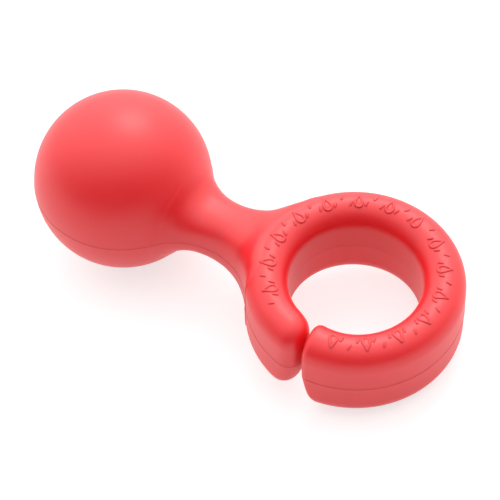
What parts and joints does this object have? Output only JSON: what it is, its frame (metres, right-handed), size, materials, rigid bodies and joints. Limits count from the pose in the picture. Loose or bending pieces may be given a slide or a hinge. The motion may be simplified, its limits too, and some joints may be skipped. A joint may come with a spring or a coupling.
{
  "type": "umbrella holder",
  "caption": "Soft split ring that snaps round an umbrella's shaft, on a bending neck with a weighted ball that lies on a table top and keeps the umbrella from falling.",
  "frame": {"origin": "centre of the ring's bore, on the parting plane of the two cover halves", "axes": "+Z along the bore, which an umbrella's shaft runs through; +X from the ball to the ring; the ring's mouth opens towards -Y"},
  "size_m": [0.0944, 0.0426, 0.036],
  "materials": {
    "silicone": "satin moulded silicone rubber",
    "spring_steel": "rolled spring strip",
    "ballast_steel": "plain steel ball"
  },
  "bodies": {
    "grip": {"ring_base_upper": "silicone", "ring_base_lower": "silicone", "spring_base": "spring_steel", "ring_back_bend_upper": "silicone", "ring_back_bend_lower": "silicone", "spring_back_bend": "spring_steel", "neck_sway_upper": "silicone", "neck_sway_lower": "silicone"},
    "arm": {"ring_arm_upper": "silicone", "ring_arm_lower": "silicone", "spring_arm": "spring_steel", "ring_front_bend_upper": "silicone", "ring_front_bend_lower": "silicone", "spring_front_bend": "spring_steel"},
    "jaw": {"ring_jaw_upper": "silicone", "ring_jaw_lower": "silicone", "spring_jaw": "spring_steel"},
    "link": {"neck_link_upper": "silicone", "neck_link_lower": "silicone", "neck_bend_upper": "silicone", "neck_bend_lower": "silicone"},
    "ball": {"ball_upper": "silicone", "ball_lower": "silicone", "ballast": "ballast_steel"}
  },
  "joints": [
    {"name": "mouth_back", "type": "hinge", "parent": "grip", "child": "arm", "pos_m": [-0.00588, 0.01616, 0], "axis": [0, 0, 1], "range_deg": [0, 22], "stiffness_Nm_per_rad": 1.1, "deforming": ["ring_back_bend_upper", "ring_back_bend_lower", "spring_back_bend"]},
    {"name": "mouth_front", "type": "hinge", "parent": "arm", "child": "jaw", "pos_m": [0.01409, 0.00987, 0], "axis": [0, 0, 1], "range_deg": [0, 22], "stiffness_Nm_per_rad": 1.1, "deforming": ["ring_front_bend_upper", "ring_front_bend_lower", "spring_front_bend"]},
    {"name": "neck_sway", "type": "hinge", "parent": "grip", "child": "link", "pos_m": [-0.0254, 0, 0], "axis": [0, 0, 1], "range_deg": [-25, 25], "stiffness_Nm_per_rad": 0.35, "deforming": ["neck_sway_upper", "neck_sway_lower"]},
    {"name": "neck_bend", "type": "hinge", "parent": "link", "child": "ball", "pos_m": [-0.0336, 0, 0], "axis": [0, 1, 0], "range_deg": [-35, 35], "stiffness_Nm_per_rad": 0.35, "deforming": ["neck_bend_upper", "neck_bend_lower"]}
  ],
  "couplings": [
    {"joint": "mouth_front", "follows": "mouth_back", "ratio": 1}
  ]
}
